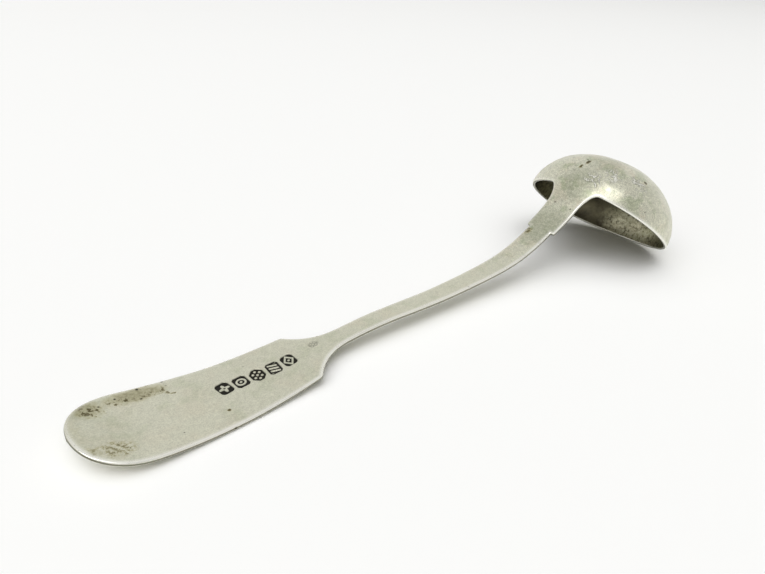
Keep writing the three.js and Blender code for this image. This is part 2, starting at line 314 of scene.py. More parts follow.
def edge_band(points, faces, chain_back, chain_front, outward):
    """Adds the rounded edge between two chains of point numbers, and returns each chain place's column."""
    columns = []
    for b, f, out in zip(chain_back, chain_front, outward):
        middle = (points[b] + points[f]) / 2
        through = (points[b] - points[f]) / 2
        column = [b]
        for k in range(1, EDGE_STEPS):
            turn = math.pi * (0.5 - k / EDGE_STEPS)
            up = math.copysign(abs(math.sin(turn)) ** (2 / EDGE_SQUARENESS), turn)
            away = math.cos(turn) ** (2 / EDGE_SQUARENESS)
            column.append(len(points))
            points.append(middle + through * up + out * EDGE_REACH * away)
        columns.append([*column, f])
    for here, there in zip(columns, columns[1:]):
        for k in range(EDGE_STEPS):
            faces.append((here[k], here[k + 1], there[k + 1], there[k]))
    return columns


def round_the_edge(count):
    """How far round the edge each of its points lies, from 0 at the back to 1 at the front."""
    return np.resize(np.arange(1, EDGE_STEPS) / EDGE_STEPS, count)


def before_the_edge(points, outline):
    """Runs on below 0 over the back, by a little for every millimetre from the back's outline."""
    tree = KDTree(len(outline))
    for i, point in enumerate(outline):
        tree.insert(point, i)
    tree.balance()
    return [FADE_PER_MM * tree.find(point)[2] for point in points]


def outward_at(rows, side):
    """Unit vectors out of the strip's edge, at half its thickness."""
    end = np.array([r["end"] for r in rows])
    across = side * np.array([r["half"] for r in rows])
    out = np.array([r["out"] for r in rows]) * [1, side]
    depth = thickness_at(end, across, np.abs(across)) / 2
    far = 0.02
    ahead = strip_point(end + far * out[:, 0], across + far * out[:, 1], depth)
    behind = strip_point(end - far * out[:, 0], across - far * out[:, 1], depth)
    return (ahead - behind) / (2 * far)


def strip_grid(rows, shares, front):
    """Points of one skin, in columns from the far side to the near side, and where marks are blackened."""
    end, middle, half = (np.array([r[k] for r in rows])[:, None] for k in ("end", "middle", "half"))
    across = half * shares[None, :]
    along = middle + (end - middle) * np.abs(shares[None, :]) ** ENDS_PULL
    depth, ground = back_relief(along, across)
    if front:
        depth = thickness_at(along, across, half + ARRIS_INSET)
    return strip_point(along, across, depth), ground


def make_mesh(name, points, faces):
    """A mesh from points and from faces that list their numbers."""
    mesh = bpy.data.meshes.new(name)
    mesh.from_pydata([tuple(p) for p in points], [], faces)
    mesh.validate()
    return mesh


print("each edge is rounded in", EDGE_STEPS, "steps")

# %% [markdown]
# ## Struck marks
#
# A row of five small marks is punched into the back, with a tiny sixth one by the shoulder. A punch
# presses the ground of its frame down and leaves a device standing in it. The marks are plain
# geometry: petals, a ring, dots, bars and a lozenge. They could be bump in the material, but then their
# edges would catch no light from the side. So each shape is a distance function, and the back's points
# are pressed down where the distance says so.

# %% Shapes of the marks
MARK_DEPTH = 0.16
PUNCH_SOFTNESS = 0.07
BURR, BURR_AT, BURR_WIDTH = 0.025, 0.15, 0.16
DEVICE_STANDS = 0.8
MARKS = [
    {"at": (26.97, 1.12), "turn": 10, "frame": "rounded", "half": (1.36, 1.72), "device": "petals"},
    {"at": (30.32, 1.02), "turn": 4, "frame": "clipped", "half": (1.36, 1.64), "device": "ring"},
    {"at": (33.72, 0.84), "turn": 2, "frame": "pointed", "half": (1.42, 1.8), "device": "dots"},
    {"at": (37.14, 0.55), "turn": -3, "frame": "clipped", "half": (1.34, 1.74), "device": "bars"},
    {"at": (40.55, 0.58), "turn": 3, "frame": "rounded", "half": (1.36, 1.66), "device": "lozenge"},
    {"at": (46.85, 1.28), "turn": 0, "frame": "oval", "half": (1.0, 0.85), "device": "dots", "strength": 0.4},
]
DEVICE_SCALE = 1.28
ROUNDED_CORNER = 0.8
CLIPPED_CORNER, POINTED_CORNER = 0.45, 0.95
CORNER_SLOPE = 0.71


def frame_distance(kind, u, v, a, b):
    """Distance outside a mark's frame, which is a wide and b high. It is negative inside."""
    if kind == "oval":
        return (np.hypot(u / a, v / b) - 1) * min(a, b)
    if kind == "rounded":
        x, y = np.abs(u) - a + ROUNDED_CORNER, np.abs(v) - b + ROUNDED_CORNER
        outside = np.hypot(np.maximum(x, 0), np.maximum(y, 0))
        return outside + np.minimum(np.maximum(x, y), 0) - ROUNDED_CORNER
    cut_off = CLIPPED_CORNER if kind == "clipped" else POINTED_CORNER
    slanted_side = (np.abs(u) + np.abs(v) - a - b + cut_off) * CORNER_SLOPE
    return np.maximum(np.maximum(np.abs(u) - a, np.abs(v) - b), slanted_side)


def device_distance(kind, u, v):
    """Distance outside the raised device in the middle of a mark, drawn about two units high."""
    away, turn = np.hypot(u, v), np.arctan2(v, u)
    if kind == "petals":
        return np.maximum(away - 0.62 - 0.26 * np.cos(4 * turn), 0.17 - away)
    if kind == "ring":
        return np.minimum(np.abs(away - 0.66) - 0.15, away - 0.2)
    if kind == "dots":
        spots = [(0, 0), (0, 0.86), (0, -0.86), *((x, y) for x in (0.55, -0.55) for y in (0.42, -0.42))]
        return np.min([np.hypot(u - x, v - y) - 0.21 for x, y in spots], axis=0)
    if kind == "bars":
        stripe = np.abs((v + 0.35 * u + 0.34) % 0.68 - 0.34) - 0.17
        return np.maximum(stripe, np.maximum(np.abs(u) - 0.72, np.abs(v) - 1.05))
    if kind == "lozenge":
        spread = np.abs(u) + 0.72 * np.abs(v)
        return np.minimum(np.abs(spread - 0.74) * 0.8 - 0.14, away - 0.2)
    raise ValueError(kind)


# %% How deep the marks are pressed


def pressed(distance):
    """1 well inside a shape and 0 outside it, with the soft step that a worn punch leaves."""
    return ease(0.5 - distance / (2 * PUNCH_SOFTNESS))


def mark_relief(along, across):
    """How deep the marks press each point down, and how much of their blackened ground shows there."""
    depth, ground = np.zeros_like(along), np.zeros_like(along)
    for mark in MARKS:
        turn, strength = math.radians(mark["turn"]), mark.get("strength", 1)
        x, y = along - mark["at"][0], across - mark["at"][1]
        u = x * math.cos(turn) + y * math.sin(turn)
        v = y * math.cos(turn) - x * math.sin(turn)
        outside = frame_distance(mark["frame"], u, v, *mark["half"])
        inside = pressed(outside) * strength
        scale = DEVICE_SCALE * strength**0.5
        device = pressed(device_distance(mark["device"], u / scale, v / scale) * scale)
        depth += MARK_DEPTH * inside * (1 - DEVICE_STANDS * device)
        depth -= BURR * strength * np.exp(-(((outside - BURR_AT) / BURR_WIDTH) ** 2))
        ground = np.maximum(ground, inside * (1 - device))
    return depth, ground


print("marks:", ", ".join(mark["device"] for mark in MARKS))

# %% [markdown]
# ## Dents and an uneven back
#
# Hammered and polished silver is never quite flat, and long years in drawers leave nicks. A few waves
# of different lengths, added up, give a slow unevenness of some hundredths of a millimetre, which shows
# only in how the light runs over it. Noise could do the same, but a sum of waves stays the same in
# every version of Blender. The nick is a small round dent in the stem's near arris.

# %% Unevenness and nick
WAVES = [
    (0.031, 0.21, 0.13, 0.4),
    (0.022, -0.11, 0.33, 1.9),
    (0.013, 0.52, 0.4, 3.1),
    (0.009, -0.83, 0.61, 5.2),
]
NICK = {"at": (88.99, -2.7), "reach": 0.32, "depth": 0.3, "dirt": 1.4}
CALM_BEFORE_EARS = 2


def uneven(first, second):
    """Sum of slow waves over a surface, whose places are given in millimetres."""
    return sum(h * np.sin(a * first + b * second + c) for h, a, b, c in WAVES)


def back_relief(along, across):
    """How far marks, nick and waves press the back down, and how much blackened ground shows."""
    depth, ground = mark_relief(along, across)
    from_nick = np.hypot(along - NICK["at"][0], across - NICK["at"][1]) / NICK["reach"]
    dent = NICK["depth"] * np.exp(-(from_nick**2))
    kept = 1 - ease((along - EAR_AT + CALM_BEFORE_EARS) / NECK_LENGTH)
    blackened = np.maximum(ground, ease(NICK["dirt"] - from_nick))
    return depth + dent + kept * uneven(along, across), blackened


print("waves of at most", round(sum(wave[0] for wave in WAVES), 3), "mm, and a nick of", NICK["depth"], "mm")

# %% [markdown]
# ## The strip of the handle
#
# The real handle is one forged strip with two skins and an edge. Its grid here is fine where the marks
# are struck and coarse elsewhere, and the front, which faces the table, needs few columns. Subdividing
# the whole strip would be simpler, but would spend its faces where nothing is to be seen. The strip
# runs on past the solder joint and is cut there later. Three numbers are stored on every point, for
# the material: how much blackened ground shows, the place round the edge, and whether the point lies
# inside the bowl.

# %% Strip of the handle
MARK_STEP = 0.075
MARK_ROWS = (25.2, 42.4)
TINY_MARK_ROWS = (45.9, 47.8)
MARK_SHARES = (0.4, -0.19)
BACK_SHARES = np.concatenate([
    np.linspace(1, MARK_SHARES[0], 10)[:-1],
    np.linspace(*MARK_SHARES, 61),
    np.linspace(MARK_SHARES[1], -1, 14)[1:],
])
FRONT_SHARES = np.linspace(1, -1, 17)


def paint(mesh, name, values):
    """Stores one number for each point, which the material reads to know where it is."""
    mesh.attributes.new(name, "FLOAT", "POINT").data.foreach_set("value", np.asarray(values, np.float32))


def strip_mesh(name, rows, back_shares, front_shares):
    """A closed strip over rows. A first row without width is the tip, and both ends close with one face."""
    back, ground = strip_grid(rows, back_shares, False)
    front, _ = strip_grid(rows, front_shares, True)
    # Where the handle rests on the table, its front is worn flat
    front[..., 2] = np.maximum(front[..., 2], 0)
    pointed = rows[0]["half"] < 0.001
    points = [*back.reshape(-1, 3), *front.reshape(-1, 3)]
    nb, nf, n = len(back_shares), len(front_shares), len(rows)
    first_front = n * nb
    faces = [tuple(reversed(f)) for f in grid_faces(0, n, nb)]
    faces += grid_faces(first_front, n, nf)
    order = range(n - 1, -1, -1)
    far_back, far_front = [r * nb for r in order], [first_front + r * nf for r in order]
    near_back = [r * nb + nb - 1 for r in range(n)]
    near_front = [first_front + r * nf + nf - 1 for r in range(n)]
    far_out, near_out = outward_at(rows, 1)[::-1], outward_at(rows, -1)
    if pointed:
        chain = (far_back + near_back[1:], far_front + near_front[1:], [*far_out, *near_out[1:]])
        columns = edge_band(points, faces, *chain)
        ends = [columns[0], columns[-1]]
    else:
        far = edge_band(points, faces, far_back, far_front, far_out)
        near = edge_band(points, faces, near_back, near_front, near_out)
        ends = [far[0], near[-1]]
        front_end = [first_front + c for c in range(nf)]
        faces.append(tuple([*range(nb), *near[0][1:-1], *reversed(front_end), *reversed(far[-1][1:-1])]))
    back_end = [(n - 1) * nb + c for c in range(nb)]
    front_end = [first_front + (n - 1) * nf + c for c in range(nf)]
    ring = [*back_end, *ends[1][1:-1], *reversed(front_end), *reversed(ends[0][1:-1])]
    faces.append(tuple(reversed(ring)))
    mesh = make_mesh(name, points, faces)
    skins = first_front + n * nf
    paint(mesh, "ground", [*ground.ravel(), *[0] * (len(points) - first_front)])
    outline = [points[i] for i in (*far_back, *near_back)]
    on_back = before_the_edge(points[:first_front], outline)
    on_front = [PAST_THE_EDGE] * (skins - first_front)
    paint(mesh, "edge", [*on_back, *on_front, *round_the_edge(len(points) - skins)])
    paint(mesh, "inside", np.zeros(len(points)))
    return mesh


# %% Handle
NICK_AT = NICK["at"][0]
# Where each stretch of rows starts and stops, and how far apart its rows lie
STRETCHES = [
    (TERMINAL_ROUND, MARK_ROWS[0], 0.8),
    (*MARK_ROWS, MARK_STEP),
    (MARK_ROWS[1], TINY_MARK_ROWS[0], 0.14),
    (*TINY_MARK_ROWS, MARK_STEP),
    (TINY_MARK_ROWS[1], TERMINAL_LENGTH + SHOULDER_SWEEP, 0.5),
    (TERMINAL_LENGTH + SHOULDER_SWEEP, NICK_AT - 0.9, 0.9),
    (NICK_AT - 0.8, NICK_AT + 0.8, 0.12),
    (NICK_AT + 0.9, EAR_FACE - 0.6, 0.9),
]
blade_places = np.concatenate([np.arange(*stretch) for stretch in STRETCHES])
NECK_FROM, NECK_TO = EAR_FACE + 0.9, EAR_AT + NECK_LENGTH - FILLET_ALONG
handle_rows = [
    *tip_rows(),
    *side_rows(blade_places),
    *ear_rows(),
    *neck_rows(NECK_FROM, NECK_TO, 0.5),
]
handle_mesh = strip_mesh("handle_silver", handle_rows, BACK_SHARES, FRONT_SHARES)
print("handle:", len(handle_rows), "rows,", len(handle_mesh.polygons), "faces")

# %% [markdown]
# ## The bowl with its neck
#
# The bowl is raised from a disc, so its wall is one sheet of even thickness that turns into the neck
# without a seam. A UV sphere cut in half would be quick, but it would meet the neck in a seam. So its
# skin is a set of rings from the rim to the top. The lowest ring shares a stretch with the neck's last
# row, so the fillets run into the rim in one sweep. The first cell gives a point of the bowl for a
# place round it and a height, with the dents that use has left.

# %% Skin of the bowl
BOWL_DEPTH = 15.2
BOWL_FULLNESS = 2.11
WAVE_HEIGHT, WAVE_CROWDING = 1.2, 1.7
LEAST_KNOCKED = 0.07
RIM_SPARED, RELIEF_STARTS = 0.02, 0.2

rim_angle = float(slope_at(RIM_AT))
bowl_up = np.array([math.cos(rim_angle), 0, math.sin(rim_angle)])
bowl_out = np.array([math.sin(rim_angle), 0, -math.cos(rim_angle)])
bowl_centre = np.array([line_x[-1], 0, line_z[-1]]) + bowl_out * BOWL_RADIUS
DENTS = [
    {"at": (49.1, -3.8, 24.9), "reach": 2.0, "depth": 0.1},
    {"at": (53.2, -7.2, 26.5), "reach": 2.4, "depth": 0.12},
    {"at": (57.2, -12.8, 25.0), "reach": 2.2, "depth": 0.1},
    {"at": (50.0, 6.0, 25.0), "reach": 2.6, "depth": 0.08},
    {"at": (62.0, -9.0, 28.0), "reach": 3.5, "depth": 0.09},
    {"at": (72.0, -6.0, 26.0), "reach": 3.0, "depth": 0.1},
]


def bowl_relief(points, rise):
    """How far the bowl's outside is knocked in at each point: slow waves, and a few shallow dents."""
    x, y, z = points.T
    knocked = WAVE_HEIGHT * uneven(WAVE_CROWDING * (x + z), WAVE_CROWDING * y) + LEAST_KNOCKED
    for dent in DENTS:
        away = ((points - dent["at"]) ** 2).sum(axis=1)
        knocked = knocked + dent["depth"] * np.exp(-away / dent["reach"] ** 2)
    return knocked * ease((rise - RIM_SPARED) / RELIEF_STARTS)


def bowl_point(along, across, rise, inside):
    """A point of the bowl. along and across place it on a unit circle, and rise runs from rim to top."""
    depth = wall_at(along, rise) if inside else np.zeros_like(along)
    turn = math.pi / 2 * rise
    spread = np.cos(turn) ** (2 / BOWL_FULLNESS)
    height = np.sin(turn) ** (2 / BOWL_FULLNESS)
    radius = (BOWL_RADIUS - depth) * spread
    dip = RIM_DIP * across**2 * (1 - height)
    point = bowl_centre + (radius * along)[:, None] * bowl_out
    point = point + ((BOWL_DEPTH - depth) * height - dip)[:, None] * bowl_up
    point[:, 1] += radius * across
    if inside:
        return point
    inwards = bowl_centre - point
    inwards /= np.linalg.norm(inwards, axis=1)[:, None]
    return point + bowl_relief(point, rise)[:, None] * inwards


print("top of the bowl:", bowl_point(np.zeros(1), np.zeros(1), 1.0, False)[0].round(2))

# %% Rows of the fillets and rings of the bowl
NECK_COLUMNS = 40
RIM_COLUMNS = 184
RINGS = 56


def fillet_rows(count=18):
    """The neck's last rows, which swing out along the rim."""
    rows = []
    centre = (RIM_AT - FILLET_ALONG, NECK_WIDTH / 2 + FILLET_ACROSS)
    for turn in np.linspace(math.pi / 2, 0, count + 1):
        cosine, sine = math.cos(turn), math.sin(turn)
        out = np.array([-cosine / FILLET_ALONG, sine / FILLET_ACROSS])
        out /= np.linalg.norm(out)
        end = centre[0] + FILLET_ALONG * cosine - ARRIS_INSET * out[0]
        half = centre[1] - FILLET_ACROSS * sine - ARRIS_INSET * out[1]
        rows.append(row(end, half, *out))
    return rows


def squared(share):
    """Turns a circle's sine or cosine into the rim's, which is a little squarer than a circle."""
    return np.sign(share) * np.abs(share) ** (2 / RIM_SQUARENESS)


def round_the_rim(half_neck, shares):
    """Places of a ring's points on the unit circle: across the neck's end, then round the free rim."""
    neck_across = half_neck / BOWL_RADIUS * shares
    start = math.pi + math.asin((half_neck / BOWL_RADIUS) ** (RIM_SQUARENESS / 2))
    turns = start + 2 * (2 * math.pi - start) * np.arange(1, RIM_COLUMNS) / RIM_COLUMNS
    along = np.concatenate([circle_drop(neck_across) - 1, squared(np.cos(turns))])
    return along, np.concatenate([neck_across, squared(np.sin(turns))])


def bowl_mesh_from(name):
    """Neck and bowl as one closed mesh: two skins of rows and rings, and the edge between them."""
    rows = [*neck_rows(EAR_AT + 1.5, NECK_TO - 0.1, 0.5), *fillet_rows()]
    shares = np.linspace(1, -1, NECK_COLUMNS + 1)
    width, n = NECK_COLUMNS + 1, len(rows)
    along, across = round_the_rim(rows[-1]["half"], shares)
    around = len(along)
    lowest = math.asin((ARRIS_INSET / BOWL_DEPTH) ** (BOWL_FULLNESS / 2)) * 2 / math.pi

    points, faces, starts, chains = [], [], [], []
    for front in (False, True):
        first = len(points)
        skin, _ = strip_grid(rows, shares, front)
        points.extend(skin.reshape(-1, 3))
        rings = []
        for k in range(RINGS):
            ring = bowl_point(along, across, lowest + (1 - lowest) * k / RINGS, front)
            base = len(points)
            if k == 0:
                neck_end = range(first + (n - 1) * width, first + n * width)
                points.extend(ring[width:])
                rings.append([*neck_end, *range(base, base + around - width)])
            else:
                points.extend(ring)
                rings.append(list(range(base, base + around)))
        top = len(points)
        points.append(bowl_point(np.zeros(1), np.zeros(1), 1.0, front)[0])
        turn = (lambda f: f) if front else (lambda f: tuple(reversed(f)))
        faces += [turn(f) for f in grid_faces(first, n, width)]
        for low, high in zip(rings, rings[1:]):
            for i in range(around):
                j = (i + 1) % around
                faces.append(turn((low[i], low[j], high[j], high[i])))
        faces += [turn((rings[-1][i], rings[-1][(i + 1) % around], top)) for i in range(around)]
        far = [first + r * width for r in range(n)]
        near = [first + r * width + width - 1 for r in range(n)]
        chains.append([*far, *reversed(rings[0][width:]), *reversed(near)])
        starts.append([first + c for c in range(width)])
    rim = [-bowl_up] * (around - width)
    outward = [*outward_at(rows, 1), *rim, *outward_at(rows, -1)[::-1]]
    columns = edge_band(points, faces, chains[0], chains[1], outward)
    end = [*starts[0], *columns[-1][1:-1], *reversed(starts[1]), *reversed(columns[0][1:-1])]
    faces.append(tuple(end))
    mesh = make_mesh(name, points, faces)
    skin_points = starts[1][0]
    edge_points = len(points) - 2 * skin_points
    on_back = before_the_edge(points[:skin_points], [points[i] for i in chains[0]])
    paint(mesh, "edge", [*on_back, *[PAST_THE_EDGE] * skin_points, *round_the_edge(edge_points)])
    paint(mesh, "inside", [*[0] * skin_points, *[1] * skin_points, *[0] * edge_points])
    return mesh


bowl_mesh = bowl_mesh_from("bowl_silver")
print("bowl:", len(bowl_mesh.polygons), "faces")

# %% [markdown]
# ## The solder joint
#
# Bowl and handle are made apart and meet in a slanted joint just past the ears, which gives the hard
# solder a long face to hold. Both strips are cut along the same slanted plane, and a thin slice of the
# neck between the cuts is the solder. The Boolean modifier could cut them too, but bisect leaves the
# skins on both sides as they are, so the joint shows as no more than a faint line.

# %% Cuts along the joint
SEAM_AT = EAR_AT + 4.6
SEAM_SLOPE = math.radians(28)
SOLDER_THICKNESS = 0.3
SAME_POINT, ON_THE_PLANE = 1e-4, 1e-5
seam_depth = thickness_at(np.array([SEAM_AT]), np.array([0.0]), np.array([NECK_WIDTH / 2])) / 2
seam_point = strip_point(np.array([SEAM_AT]), np.array([0.0]), seam_depth)[0]
seam_turn = float(slope_at(SEAM_AT)) - SEAM_SLOPE
seam_normal = np.array([-math.sin(seam_turn), 0, math.cos(seam_turn)])


def cut(mesh, offset, keep_above):
    """Cuts a mesh along the joint's plane, moved by offset, keeps one side and closes the cut."""
    bm = bmesh.new()
    bm.from_mesh(mesh)
    bmesh.ops.remove_doubles(bm, verts=bm.verts, dist=SAME_POINT)
    faces = {f for f in bm.faces if CUT_FROM < f.calc_center_median().x < CUT_TO}
    geom = list(faces | {v for f in faces for v in f.verts} | {e for f in faces for e in f.edges})
    bmesh.ops.bisect_plane(
        bm, geom=geom, dist=ON_THE_PLANE, plane_co=Vector(seam_point + seam_normal * offset),
        plane_no=Vector(seam_normal), clear_inner=keep_above, clear_outer=not keep_above,
    )
    rim = [e for e in bm.edges if len(e.link_faces) == 1]
    bmesh.ops.holes_fill(bm, edges=rim, sides=0)
    bmesh.ops.recalc_face_normals(bm, faces=bm.faces[:])
    bm.to_mesh(mesh)
    bm.free()


# The plane runs on through the tip and the bowl, so only the faces of the neck are cut
CUT_FROM, CUT_TO = (float(np.interp(a, line_at, line_x)) for a in (EAR_AT - 4, RIM_AT - 1.5))
seam_rows = neck_rows(EAR_AT + 1.0, NECK_TO, 0.4)
seam_mesh = strip_mesh("solder_film", seam_rows, np.linspace(1, -1, 25), FRONT_SHARES)
cut(handle_mesh, -SOLDER_THICKNESS / 2, False)
cut(bowl_mesh, SOLDER_THICKNESS / 2, True)
cut(seam_mesh, -SOLDER_THICKNESS / 2, True)
cut(seam_mesh, SOLDER_THICKNESS / 2, False)
print("solder:", len(seam_mesh.polygons), "faces")

# %% [markdown]
# ## Pieces in place
#
# Each mesh becomes an object that rides on the frame's only body and stands for its CAD node. Faces are
# shaded smooth, because polished silver shows no facets, and only the cut faces of the joint keep a
# crisp edge. Here millimetres turn into Blender's metres.

# %% Pieces
SHARP_FROM = math.radians(50)


def add_piece(mesh, node):
    """An object for a mesh, in metres, that rides on the ladle's body in the place of a CAD node."""
    mesh.transform(Matrix.Scale(MM, 4))
    mesh.shade_smooth()
    mesh.set_sharp_from_angle(angle=SHARP_FROM)
    piece = bpy.data.objects.new(mesh.name, mesh)
    bpy.context.scene.collection.objects.link(piece)
    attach(piece, "root")
    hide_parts(node)
    return piece


handle = add_piece(handle_mesh, "handle")
bowl = add_piece(bowl_mesh, "bowl")
solder = add_piece(seam_mesh, "solder_seam")
print("pieces:", handle.name, bowl.name, solder.name)

# %% [markdown]
# ## Silver
#
# Old silver is a metal with a warm grey cast. Hundreds of polishings leave a soft satin of fine
# scratches, tarnish tints it in patches, and pits hold dirt. All that could be painted on pictures, but
# those would need an unwrapped mesh, and would blur close up. So each effect is a node group that works
# from noise, built once and placed in the materials with its own values. All of them read the place in
# the object, so they stay where they are when the ladle is seen from another side.
#
# A shader is a tree of nodes, and each node takes several lines of Python. So the kinds that are used
# often get a short function first, which makes a node, feeds its sockets and hands back its result.

# %% Values, sums and vectors


def colour(red, green, blue):
    """A colour as it looks on a screen, 0 to 255, in the linear values that Blender works with."""
    linear = [((v / 255 + 0.055) / 1.055) ** 2.4 for v in (red, green, blue)]
    return (*linear, 1)


def feed(tree, socket, value):
    """Links a socket to the one that gives its value, or sets it where the value is plain."""
    if isinstance(value, bpy.types.NodeSocket):
        tree.links.new(value, socket)
    elif value is not None:
        socket.default_value = value


def math_node(tree, operation, first, second=None):
    """A Math node whose inputs are sockets or numbers, and its result."""
    node = tree.nodes.new("ShaderNodeMath")
    node.operation = operation
    feed(tree, node.inputs[0], first)
    feed(tree, node.inputs[1], second)
    return node.outputs["Value"]


def product(tree, first, second):
    """Two values multiplied."""
    return math_node(tree, "MULTIPLY", first, second)


def plus(tree, total, value, share):
    """A total with a share of a value added. A share below 0 takes away."""
    return math_node(tree, "ADD", total, product(tree, value, share))


def strongest(tree, first, *others):
    """The highest of several masks at each point."""
    for mask in others:
        first = math_node(tree, "MAXIMUM", first, mask)
    return first


def vector_node(tree, operation, first, second=None):
    """A Vector Math node whose inputs are sockets or vectors, and its result."""
    node = tree.nodes.new("ShaderNodeVectorMath")
    node.operation = operation
    feed(tree, node.inputs[0], first)
    feed(tree, node.inputs[1], second)
    return node.outputs["Value" if operation in ("LENGTH", "DOT_PRODUCT") else "Vector"]


SILVER = colour(209, 208, 189)
print("silver in Blender's linear values:", [round(v, 3) for v in SILVER[:3]])

# %% Ranges, noise and mixes


def ranged(tree, value, from_low, from_high, to_low=0.0, to_high=1.0):
    """A smooth Map Range node on a socket, and its result."""
    node = tree.nodes.new("ShaderNodeMapRange")
    node.interpolation_type = "SMOOTHSTEP"
    tree.links.new(value, node.inputs["Value"])
    numbers = (from_low, from_high, to_low, to_high)
    for name, number in zip(("From Min", "From Max", "To Min", "To Max"), numbers):
        node.inputs[name].default_value = number
    return node.outputs["Result"]


def noise_node(tree, vector, scale, detail, roughness):
    """The outputs of a Noise Texture, whose scale is features per metre."""
    node = tree.nodes.new("ShaderNodeTexNoise")
    node.inputs["Scale"].default_value = scale
    node.inputs["Detail"].default_value = detail
    node.inputs["Roughness"].default_value = roughness
    tree.links.new(vector, node.inputs["Vector"])
    return node.outputs


def noise(tree, vector, scale, detail=2.0, roughness=0.5, stretch=None):
    """Noise from 0 to 1. A stretch squeezes it along the axes."""
    if stretch is not None:
        vector = vector_node(tree, "MULTIPLY", vector, stretch)
    return noise_node(tree, vector, scale, detail, roughness)["Fac"]


def mixed(tree, factor, first, second):
    """A colour between two colours or colour sockets."""
    node = tree.nodes.new("ShaderNodeMix")
    node.data_type = "RGBA"
    for name, value in (("Factor", factor), ("A", first), ("B", second)):
        feed(tree, node.inputs[name], value)
    return node.outputs["Result"]


def laid_over(tree, tint, over, mask, share):
    """A tint with another one laid over it, as far as a mask and a share allow."""
    return mixed(tree, product(tree, mask, share), tint, over)


# %% Node groups


def new_group(name, inputs, outputs):
    """An empty node group. Its sockets are given as names, each with its kind."""
    tree = bpy.data.node_groups.new(name, "ShaderNodeTree")
    for way, sockets in (("INPUT", inputs), ("OUTPUT", outputs)):
        for label, kind in sockets.items():
            tree.interface.new_socket(label, in_out=way, socket_type=f"NodeSocket{kind}")
    return tree, tree.nodes.new("NodeGroupInput").outputs, tree.nodes.new("NodeGroupOutput").inputs


def place_group(tree, group, **values):
    """Places a group in a material, with a value or a link for each of its inputs."""
    node = tree.nodes.new("ShaderNodeGroup")
    node.node_tree = group
    for label, value in values.items():
        feed(tree, node.inputs[label], value)
    return node.outputs


def finish_group(tree, give, results):
    """Links each result to the group's output of that name, and prints how large the group is."""
    for label, result in results.items():
        tree.links.new(result, give[label])
    print("group", tree.name, "with", len(tree.nodes), "nodes")


# %% [markdown]
# ### Satin of fine scratches
#
# Polishing cloths leave hair-thin scratches that run mostly along the ladle, and a fine grain under
# them. Stretched noise draws such hairs cheaply. Three sets, each leaning its own way, keep them from
# looking combed. Only the crests of two more sets are kept: those are the few deeper scratches.

# %% Satin group
HAIR_SETS = [
    {"scale": 900, "stretch": (0.2, 8.0, 8.0)},
    {"scale": 1300, "stretch": (0.5, 5.0, 2.5)},
    {"scale": 1100, "stretch": (4.0, 0.6, 2.5)},
]
LONG_SCRATCHES = {"scale": 800, "stretch": (0.12, 9.0, 5.0)}
SLANTED_SCRATCHES = {"scale": 700, "stretch": (5.0, 4.0, 0.6)}
SATIN_GRAIN, POLISH_PATCHES = 5200, 260

satin, read, give = new_group(
    "satin", {"Vector": "Vector"}, {"Height": "Float", "Scratch": "Float", "Polish": "Float"}
)
place = read["Vector"]
hairs = [noise(satin, place, detail=3.0, roughness=0.6, **hair_set) for hair_set in HAIR_SETS]
total = noise(satin, place, SATIN_GRAIN, 2.0, 0.6)
for hair in hairs:
    total = math_node(satin, "ADD", total, hair)
long_ones = ranged(satin, noise(satin, place, detail=1.0, **LONG_SCRATCHES), 0.7, 0.78)
slanted = ranged(satin, noise(satin, place, detail=1.0, **SLANTED_SCRATCHES), 0.72, 0.8)
finish_group(satin, give, {
    "Height": math_node(satin, "DIVIDE", total, len(hairs) + 1),
    "Scratch": strongest(satin, long_ones, slanted),
    "Polish": ranged(satin, noise(satin, place, POLISH_PATCHES, 4.0), 0.35, 0.65),
})

# %% [markdown]
# ### Mottled tints
#
# A thin, uneven skin of tarnish tints silver yellow, green and rose. One plain colour would look like
# paint. So a noise with broad patches lays rose over the silver, and another one green. A grain, lighter
# and darker, lies over both, and it is stronger where the surface is rougher.

# %% Mottle group
ROSE_PATCHES, GREEN_PATCHES = 150, 240
COARSE_GRAIN, FINE_GRAIN = 1100, 3900
COARSE_SHARE = 0.45

mottle, read, give = new_group(
    "mottle",
    {
        "Vector": "Vector", "Silver": "Color", "Rose": "Color", "Green": "Color",
        "Tinge": "Float", "Grain": "Float",
    },
    {"Color": "Color"},
)
place, tinge = read["Vector"], read["Tinge"]
rose = ranged(mottle, noise(mottle, place, ROSE_PATCHES, 5.0, 0.6), 0.48, 0.66)
green = ranged(mottle, noise(mottle, place, GREEN_PATCHES, 5.0, 0.62), 0.5, 0.64)
tinted = laid_over(mottle, read["Silver"], read["Rose"], rose, tinge)
tinted = laid_over(mottle, tinted, read["Green"], green, tinge)
coarse = ranged(mottle, noise(mottle, place, COARSE_GRAIN, 4.0, 0.75), 0.34, 0.66, -0.5, 0.5)
fine = ranged(mottle, noise(mottle, place, FINE_GRAIN, 4.0, 0.75), 0.38, 0.62, -0.5, 0.5)
light = plus(mottle, 1.0, plus(mottle, fine, coarse, COARSE_SHARE), read["Grain"])
finish_group(mottle, give, {"Color": vector_node(mottle, "MULTIPLY", tinted, light)})

# %% [markdown]
# ### Stains at a place
#
# Some stains are so plain in the photograph that they need a place of their own. The group measures
# the distance from that place after a noise has pulled the surface about, so the stain gets a ragged
# outline, and a second noise breaks it into specks.

# %% Stain group
PULL_SCALE, HOLE_SCALE = 650, 1500

